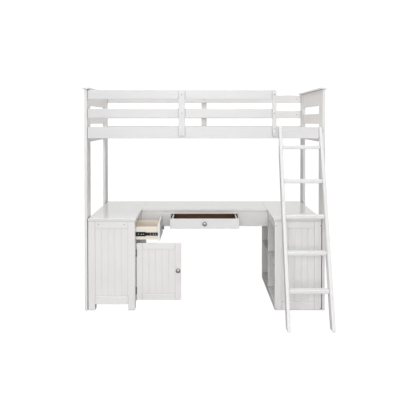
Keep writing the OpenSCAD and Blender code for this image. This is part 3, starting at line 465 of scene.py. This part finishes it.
def round_edges(bm, edges, width):
    """Rounds edges by a width in millimetres."""
    bmesh.ops.bevel(
        bm, geom=edges, offset=width * MM, offset_type="OFFSET", affect="EDGES",
        segments=sizes().edge_steps, profile=0.5, material=-1, clamp_overlap=True)


def finish_piece(bm, name, material, node, smooth=False):
    """Makes a piece of a shape: it stands for a CAD node and moves with the node's body."""
    mesh = bpy.data.meshes.new(name)
    bm.to_mesh(mesh)
    bm.free()
    for layer in [a.name for a in mesh.attributes if a.name == "custom_normal"]:
        mesh.attributes.remove(mesh.attributes[layer])
    if smooth:
        mesh.shade_smooth()
        mesh.set_sharp_from_angle(angle=SMOOTH_ANGLE)
    else:
        mesh.shade_flat()
    mesh.materials.clear()
    mesh.materials.append(material)
    piece = bpy.data.objects.new(name, mesh)
    bpy.context.scene.collection.objects.link(piece)
    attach(piece, body_of(node))
    slot_of(node)
    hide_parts(node)


def board(node, finish_name, edge):
    """Boards as the CAD has them, with their long edges rounded."""
    bm = whole_shape(node)
    round_edges(bm, sharp_edges(bm), edge)
    finish_piece(bm, node + "_board", finish(finish_name), node)


def boards(rows, edge):
    """Several nodes' boards, each with its finish, rounded alike."""
    for node, finish_name in rows:
        board(node, finish_name, edge)


class MakerBase:
    """What the making operators share."""
    bl_options = {"REGISTER", "UNDO"}


class LOFT_OT_bed_frame(MakerBase, bpy.types.Operator):
    """Rounds and paints the posts, caps and end boards"""
    bl_idname = "loft.bed_frame"
    bl_label = "Bed frame"

    def execute(self, context):
        boards([("left_posts", "paint_z"), ("right_posts", "paint_z"), ("end_caps", "paint_y"),
                ("end_panels", "paint_y"), ("end_rails", "paint_y")], sizes().post_edge)
        return {"FINISHED"}


class LOFT_OT_rails(MakerBase, bpy.types.Operator):
    """Rounds and paints the side rails, guard rails and upright bars"""
    bl_idname = "loft.rails"
    bl_label = "Rails and guard"

    def execute(self, context):
        boards([("front_side_rail", "rail"), ("front_mid_guard", "rail"),
                ("front_top_guard", "rail"), ("back_side_rail", "rail"),
                ("back_mid_guard", "rail"), ("back_top_guard", "rail"),
                ("front_guard_bar", "bar"), ("ladder_guard_bar", "bar"),
                ("back_guard_bar", "bar")], sizes().rail_edge)
        return {"FINISHED"}


class LOFT_OT_slats(MakerBase, bpy.types.Operator):
    """Makes the slats and the ledgers that carry them"""
    bl_idname = "loft.slats"
    bl_label = "Slats"

    def execute(self, context):
        board("slats", "slat_wood", sizes().post_edge)
        board("slat_ledgers", "paint_x", sizes().board_edge)
        return {"FINISHED"}


class LOFT_OT_ladder(MakerBase, bpy.types.Operator):
    """Rounds the ladder's stiles and paints them and the rungs"""
    bl_idname = "loft.ladder"
    bl_label = "Ladder"

    def execute(self, context):
        boards([("left_stile", "paint_z"), ("right_stile", "paint_z")], sizes().rail_edge)
        finish_piece(whole_shape("rungs"), "rungs_board", finish("paint_x"), "rungs", smooth=True)
        return {"FINISHED"}


class LOFT_OT_desk(MakerBase, bpy.types.Operator):
    """Makes the glossy desk top and the boards under it"""
    bl_idname = "loft.desk"
    bl_label = "Desk"

    def execute(self, context):
        boards([("desk_top_left", "desk"), ("desk_top_middle", "desk"),
                ("desk_top_right", "desk")], sizes().desk_edge)
        boards([("desk_apron", "paint_x"), ("desk_rails", "paint_x")], sizes().board_edge)
        return {"FINISHED"}


class LOFT_OT_pedestal(MakerBase, bpy.types.Operator):
    """Makes the pedestal's legs, rails and grooved panels"""
    bl_idname = "loft.pedestal"
    bl_label = "Pedestal"

    def execute(self, context):
        boards([("pedestal_legs", "cabinet"), ("pedestal_rails", "cabinet")], sizes().frame_edge)
        boards([("pedestal_side_panels", "paint_z"), ("pedestal_partition", "paint_z"),
                ("pedestal_floor", "paint_y")], sizes().board_edge)
        board("pedestal_beaded_ends", "panel", sizes().groove_edge)
        return {"FINISHED"}


class LOFT_OT_bookcase(MakerBase, bpy.types.Operator):
    """Makes the bookcase's frames, grooved panels, shelves and back"""
    bl_idname = "loft.bookcase"
    bl_label = "Bookcase"

    def execute(self, context):
        board("bookcase_frames", "cabinet", sizes().frame_edge)
        boards([("bookcase_back", "paint_z"),
                ("bookcase_rails", "paint_y"), ("bookcase_divider", "paint_z"),
                ("bookcase_shelves", "paint_y")], sizes().board_edge)
        board("bookcase_beaded_ends", "panel", sizes().groove_edge)
        return {"FINISHED"}


class LOFT_OT_drawers(MakerBase, bpy.types.Operator):
    """Makes the fronts, boxes and bottoms of both drawers"""
    bl_idname = "loft.drawers"
    bl_label = "Drawers"

    def execute(self, context):
        boards([("middle_drawer_front", "paint_x"), ("middle_drawer_box", "brown_with_shade"),
                ("middle_drawer_bottom", "brown_with_shade"), ("side_drawer_front", "paint_y"),
                ("side_drawer_box", "box_wood"), ("side_drawer_bottom", "box_wood")],
               sizes().board_edge)
        return {"FINISHED"}


RIVET_RADIUS = 3.4 * MM
RIVET_RISE = 0.1                    # height of a rivet's dome over its radius
RIVET_PLACES = (0.06, 0.12, 0.35, 0.65, 0.80, 0.88, 0.94)


def rivets(node, run, across):
    """Low domed rivets along the outer web of each of a pair of slide members."""
    low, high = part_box(node)
    bm = bmesh.new()
    for side in (low, high):
        for share in RIVET_PLACES:
            spot = (low + high) / 2
            spot[run] = low[run] + share * (high[run] - low[run])
            spot[across] = side[across]
            dome = bmesh.ops.create_uvsphere(
                bm, u_segments=12, v_segments=6, radius=RIVET_RADIUS)["verts"]
            flat = Vector((1, 1, 1))
            flat[across] = RIVET_RISE
            bmesh.ops.scale(bm, vec=flat, verts=dome)
            bmesh.ops.translate(bm, vec=spot, verts=dome)
    name = node + "_rivets"
    mesh = bpy.data.meshes.new(name)
    bm.to_mesh(mesh)
    bm.free()
    mesh.shade_smooth()
    mesh.materials.append(finish("rivet"))
    piece = bpy.data.objects.new(name, mesh)
    bpy.context.scene.collection.objects.link(piece)
    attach(piece, body_of(node))


class LOFT_OT_slides(MakerBase, bpy.types.Operator):
    """Makes the three members of each drawer slide, with their rivets"""
    bl_idname = "loft.slides"
    bl_label = "Drawer slides"

    def execute(self, context):
        for drawer, run, across in (("middle", 1, 0), ("side", 0, 1)):
            for member in ("fixed", "centre", "inner"):
                board(f"{drawer}_slide_{member}", "black", sizes().metal_edge)
            for member in ("centre", "inner"):
                rivets(f"{drawer}_slide_{member}", run, across)
        return {"FINISHED"}


class LOFT_OT_door(MakerBase, bpy.types.Operator):
    """Makes the door's frame, grooved panel, catch and strike"""
    bl_idname = "loft.door"
    bl_label = "Door"

    def execute(self, context):
        board("door_frame", "cabinet", sizes().frame_edge)
        board("door_panel", "panel", sizes().groove_edge)
        board("door_catch", "plastic", sizes().board_edge)
        board("door_strike", "zinc", sizes().metal_edge)
        return {"FINISHED"}


class LOFT_OT_hinges(MakerBase, bpy.types.Operator):
    """Makes the hinge leaves with their knuckles and pins"""
    bl_idname = "loft.hinges"
    bl_label = "Hinges"

    def execute(self, context):
        for node in ("hinge_leaves", "door_leaves"):
            finish_piece(whole_shape(node), node + "_steel", finish("hinge"), node, smooth=True)
        return {"FINISHED"}


KNOB_INSET = 0.995                  # keeps the turned knob inside the size of its node
# Shares of the radius and of the reach, from the foot over the rim to the middle of the face.
KNOB_OUTLINE = (
    (0, 0), (0.50, 0), (0.52, 0.03), (0.52, 0.09), (0.40, 0.15), (0.34, 0.26), (0.34, 0.40),
    (0.42, 0.50), (0.72, 0.56), (0.95, 0.62), (1.0, 0.70), (0.99, 0.80), (0.93, 0.88),
    (0.84, 0.915), (0.78, 0.90), (0.745, 0.845), (0.70, 0.845), (0.66, 0.905),
    (0.50, 0.955), (0.28, 0.988), (0, 0.998),
)


def knob(node, out):
    """A turned knob along a direction: foot, neck, rim, ring groove and domed face."""
    low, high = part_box(node)
    k = [abs(v) > 0.5 for v in out].index(True)
    middle = (low + high) / 2
    reach = high[k] - low[k]
    radius = (high[(k + 1) % 3] - low[(k + 1) % 3]) / 2 * KNOB_INSET
    foot = middle.copy()
    foot[k] = low[k] if out[k] > 0 else high[k]
    bm = bmesh.new()
    points = [bm.verts.new((r * radius, 0, h * reach)) for r, h in KNOB_OUTLINE]
    chain = [bm.edges.new(pair) for pair in zip(points, points[1:])]
    bmesh.ops.spin(
        bm, geom=points + chain, cent=(0, 0, 0), axis=(0, 0, 1), dvec=(0, 0, 0),
        angle=math.tau, steps=sizes().knob_steps, use_merge=True, use_duplicate=False)
    bmesh.ops.remove_doubles(bm, verts=bm.verts, dist=WELD)
    bmesh.ops.recalc_face_normals(bm, faces=bm.faces)
    turn = Vector((0, 0, 1)).rotation_difference(Vector(out)).to_matrix().to_4x4()
    bm.transform(Matrix.Translation(foot) @ turn)
    material = nickel_finish(node + "_nickel", tuple(foot), "xyz"[k], radius)
    finish_piece(bm, node + "_turned", material, node, smooth=True)


class LOFT_OT_knobs(MakerBase, bpy.types.Operator):
    """Turns the three knobs"""
    bl_idname = "loft.knobs"
    bl_label = "Knobs"

    def execute(self, context):
        knob("middle_drawer_knob", (0, -1, 0))
        knob("side_drawer_knob", (1, 0, 0))
        before_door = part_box("door_knob")[0].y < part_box("door_frame")[0].y
        knob("door_knob", (0, -1 if before_door else 1, 0))
        return {"FINISHED"}


HEAD_EDGE = 0.6                     # rounding of a head's rim, in mm
SOCKET_INSET = 0.45                 # how far in the socket starts, as a share of the radius
# Node, radius of the head, corners of the driver and depth of its socket, in mm.
BOLTS = (("frame_bolts", 7.0, 6, 1.6), ("guard_bolts", 7.0, 6, 1.6), ("screws", 4.5, 4, 0.8))


def round_faces(bm, radius, most):
    """The many-sided faces with about the area of a disc, given in mm."""
    disc = math.pi * (radius * MM) ** 2
    return [f for f in bm.faces
            if len(f.verts) > 9 and 0.85 * disc < f.calc_area() < most * disc]


def recess_heads(bm, radius, lobes, depth):
    """Sinks a driver's socket into the middle of each round head of one radius."""
    heads = round_faces(bm, radius, 1.1)
    rims = list({e for f in heads for e in f.edges})
    if not heads:
        return
    bmesh.ops.bevel(
        bm, geom=rims, offset=HEAD_EDGE * MM, offset_type="OFFSET", affect="EDGES", segments=2,
        profile=0.5, material=-1, clamp_overlap=True)
    heads = round_faces(bm, radius - HEAD_EDGE, 1.08)
    bmesh.ops.inset_individual(
        bm, faces=heads, thickness=SOCKET_INSET * radius * MM, use_even_offset=True)
    for f in heads:
        middle = f.calc_center_median()
        side = (f.verts[0].co - middle).normalized()
        across = f.normal.cross(side)
        for v in f.verts:
            arm = v.co - middle
            angle = math.atan2(arm.dot(across), arm.dot(side))
            if lobes == 6:
                stretch = math.cos(math.pi / 6) / math.cos(angle % (math.pi / 3) - math.pi / 6)
            else:
                stretch = 0.45 + 0.75 * abs(math.cos(2 * angle)) ** 4
            v.co = middle + arm * stretch
    sunk = bmesh.ops.extrude_discrete_faces(bm, faces=heads)["faces"]
    for f in sunk:
        bmesh.ops.translate(bm, verts=f.verts, vec=f.normal * -depth * MM)


class LOFT_OT_bolts(MakerBase, bpy.types.Operator):
    """Makes the bolts, nuts and screws with their driver sockets"""
    bl_idname = "loft.bolts"
    bl_label = "Bolts and screws"

    def execute(self, context):
        for node, radius, lobes, depth in BOLTS:
            bm = whole_shape(node)
            recess_heads(bm, radius, lobes, depth)
            finish_piece(bm, node + "_metal", finish("zinc"), node, smooth=True)
        return {"FINISHED"}


# ------------------------------------------------------------------ stage

FLOOR_HALF = 30.0                   # half of the floor's width, in metres
FLOOR_TONE = (0.55, 0.55, 0.55, 1)  # the grey that the floor throws back on the bed
FLOOR_GLOW = 1.06                   # how bright the plain floor is shown
FLOOR_SHARE = 0.97                  # share of that in what the camera sees
BACKDROP = 1.1                      # how bright the plain background is shown
SKY_LOW, SKY_HIGH = 0.55, 1.6       # the even light at or below the horizon, and overhead
FILM_WIDTH = 36.0                   # the camera's film, in mm
# Each light's power among the stage's settings, its place, what it faces and its size, in metres.
LAMPS = (
    ("key", (-0.1, -6.2, 1.65), (0, 0, 0.25), (2.8, 2.0)),
    ("top", (0.0, -0.8, 4.2), (0, -0.3, 0.0), (3.2, 1.8)),
    ("side", (-3.8, -4.6, 2.1), (0, 0, 0.8), (2.6, 2.6)),
    ("side", (3.8, -4.6, 2.1), (0, 0, 0.8), (2.6, 2.6)),
)


def area_light(name, place, aim, size, power):
    """A soft rectangular light at a place, aimed at a point, in metres and watts."""
    light = bpy.data.lights.new(name, "AREA")
    light.shape = "RECTANGLE"
    light.size, light.size_y = size
    light.energy = power
    lamp = bpy.data.objects.new(name, light)
    lamp.location = place
    lamp.rotation_euler = (Vector(aim) - Vector(place)).to_track_quat("-Z", "Y").to_euler()
    bpy.context.scene.collection.objects.link(lamp)


class LOFT_OT_stage(MakerBase, bpy.types.Operator):
    """Sets the pale floor, the soft light and the camera"""
    bl_idname = "loft.stage"
    bl_label = "Stage"

    def execute(self, context):
        scene = context.scene
        s = scene.loft_stage
        scene.view_settings.view_transform = "Standard"

        camera = bpy.data.cameras.new("camera")
        camera.sensor_width = FILM_WIDTH
        camera.lens = s.lens
        camera.shift_x, camera.shift_y = s.shift
        eye = bpy.data.objects.new("camera", camera)
        eye.location = s.place
        eye.rotation_euler = (math.pi / 2 - s.pitch, 0.0, -s.yaw)
        scene.collection.objects.link(eye)
        scene.camera = eye

        bm = bmesh.new()
        bmesh.ops.create_grid(bm, x_segments=4, y_segments=4, size=FLOOR_HALF)
        mesh = bpy.data.meshes.new("floor")
        bm.to_mesh(mesh)
        bm.free()
        f = Finish("floor", Roughness=0.65)
        f.shader.inputs["Base Color"].default_value = FLOOR_TONE
        glow = f.node("ShaderNodeEmission", inputs={"Strength": FLOOR_GLOW})
        seen = f.node("ShaderNodeLightPath", output="Is Camera Ray") * FLOOR_SHARE
        mixed = f.node("ShaderNodeMixShader", inputs=(
            seen, Value(f, f.shader.outputs[0]), glow))
        f.tree.links.new(mixed.socket, f.tree.nodes["Material Output"].inputs["Surface"])
        mesh.materials.append(f.material)
        floor = bpy.data.objects.new("floor", mesh)
        scene.collection.objects.link(floor)

        world = bpy.data.worlds.new("sky")
        world.use_nodes = True
        scene.world = world
        nodes, links = world.node_tree.nodes, world.node_tree.links
        lights = {}
        for name, strength in (("lit", s.sky), ("mirrored", s.mirrored), ("seen", BACKDROP)):
            lights[name] = nodes.new("ShaderNodeBackground")
            lights[name].inputs["Strength"].default_value = strength
            lights[name].inputs["Color"].default_value = (1, 1, 1, 1)
        at = nodes.new("ShaderNodeTexCoord")
        split = nodes.new("ShaderNodeSeparateXYZ")
        height = nodes.new("ShaderNodeMapRange")
        links.new(at.outputs["Generated"], split.inputs[0])
        links.new(split.outputs["Z"], height.inputs["Value"])
        height.inputs["To Min"].default_value = SKY_LOW
        height.inputs["To Max"].default_value = SKY_HIGH
        links.new(height.outputs[0], lights["lit"].inputs["Color"])
        path = nodes.new("ShaderNodeLightPath")
        below = lights["lit"]
        for name, ray in (("mirrored", "Is Glossy Ray"), ("seen", "Is Camera Ray")):
            mix = nodes.new("ShaderNodeMixShader")
            links.new(path.outputs[ray], mix.inputs[0])
            links.new(below.outputs[0], mix.inputs[1])
            links.new(lights[name].outputs[0], mix.inputs[2])
            below = mix
        links.new(below.outputs[0], nodes["World Output"].inputs["Surface"])

        for name, place, aim, size in LAMPS:
            area_light(name, place, aim, size, getattr(s, name))
        return {"FINISHED"}


# ------------------------------------------------------------------ panel

STEPS = ("stage", "bed_frame", "rails", "slats", "ladder", "desk", "pedestal", "bookcase",
         "drawers", "slides", "door", "hinges", "knobs", "bolts")


class LOFT_PT_panel(bpy.types.Panel):
    """Lists the making steps and their settings"""
    bl_idname = "LOFT_PT_panel"
    bl_label = "Loft bed"
    bl_space_type = "VIEW_3D"
    bl_region_type = "UI"
    bl_category = "Loft bed"

    def draw(self, context):
        for step in STEPS:
            self.layout.operator("loft." + step)
        for group in ("loft_sizes", "loft_colours", "loft_stage"):
            values = getattr(context.scene, group)
            for name in values.__annotations__:
                self.layout.prop(values, name)


CLASSES = (
    LOFT_PG_sizes, LOFT_PG_colours, LOFT_PG_stage,
    LOFT_OT_stage, LOFT_OT_bed_frame, LOFT_OT_rails, LOFT_OT_slats, LOFT_OT_ladder, LOFT_OT_desk,
    LOFT_OT_pedestal, LOFT_OT_bookcase, LOFT_OT_drawers, LOFT_OT_slides, LOFT_OT_door,
    LOFT_OT_hinges, LOFT_OT_knobs, LOFT_OT_bolts, LOFT_PT_panel,
)


def register():
    for cls in CLASSES:
        bpy.utils.register_class(cls)
    bpy.types.Scene.loft_sizes = PointerProperty(type=LOFT_PG_sizes)
    bpy.types.Scene.loft_colours = PointerProperty(type=LOFT_PG_colours)
    bpy.types.Scene.loft_stage = PointerProperty(type=LOFT_PG_stage)


def unregister():
    for name in ("loft_stage", "loft_colours", "loft_sizes"):
        delattr(bpy.types.Scene, name)
    for cls in reversed(CLASSES):
        bpy.utils.unregister_class(cls)


def main():
    register()
    for step in STEPS:
        getattr(bpy.ops.loft, step)()


if __name__ == "__main__":
    main()
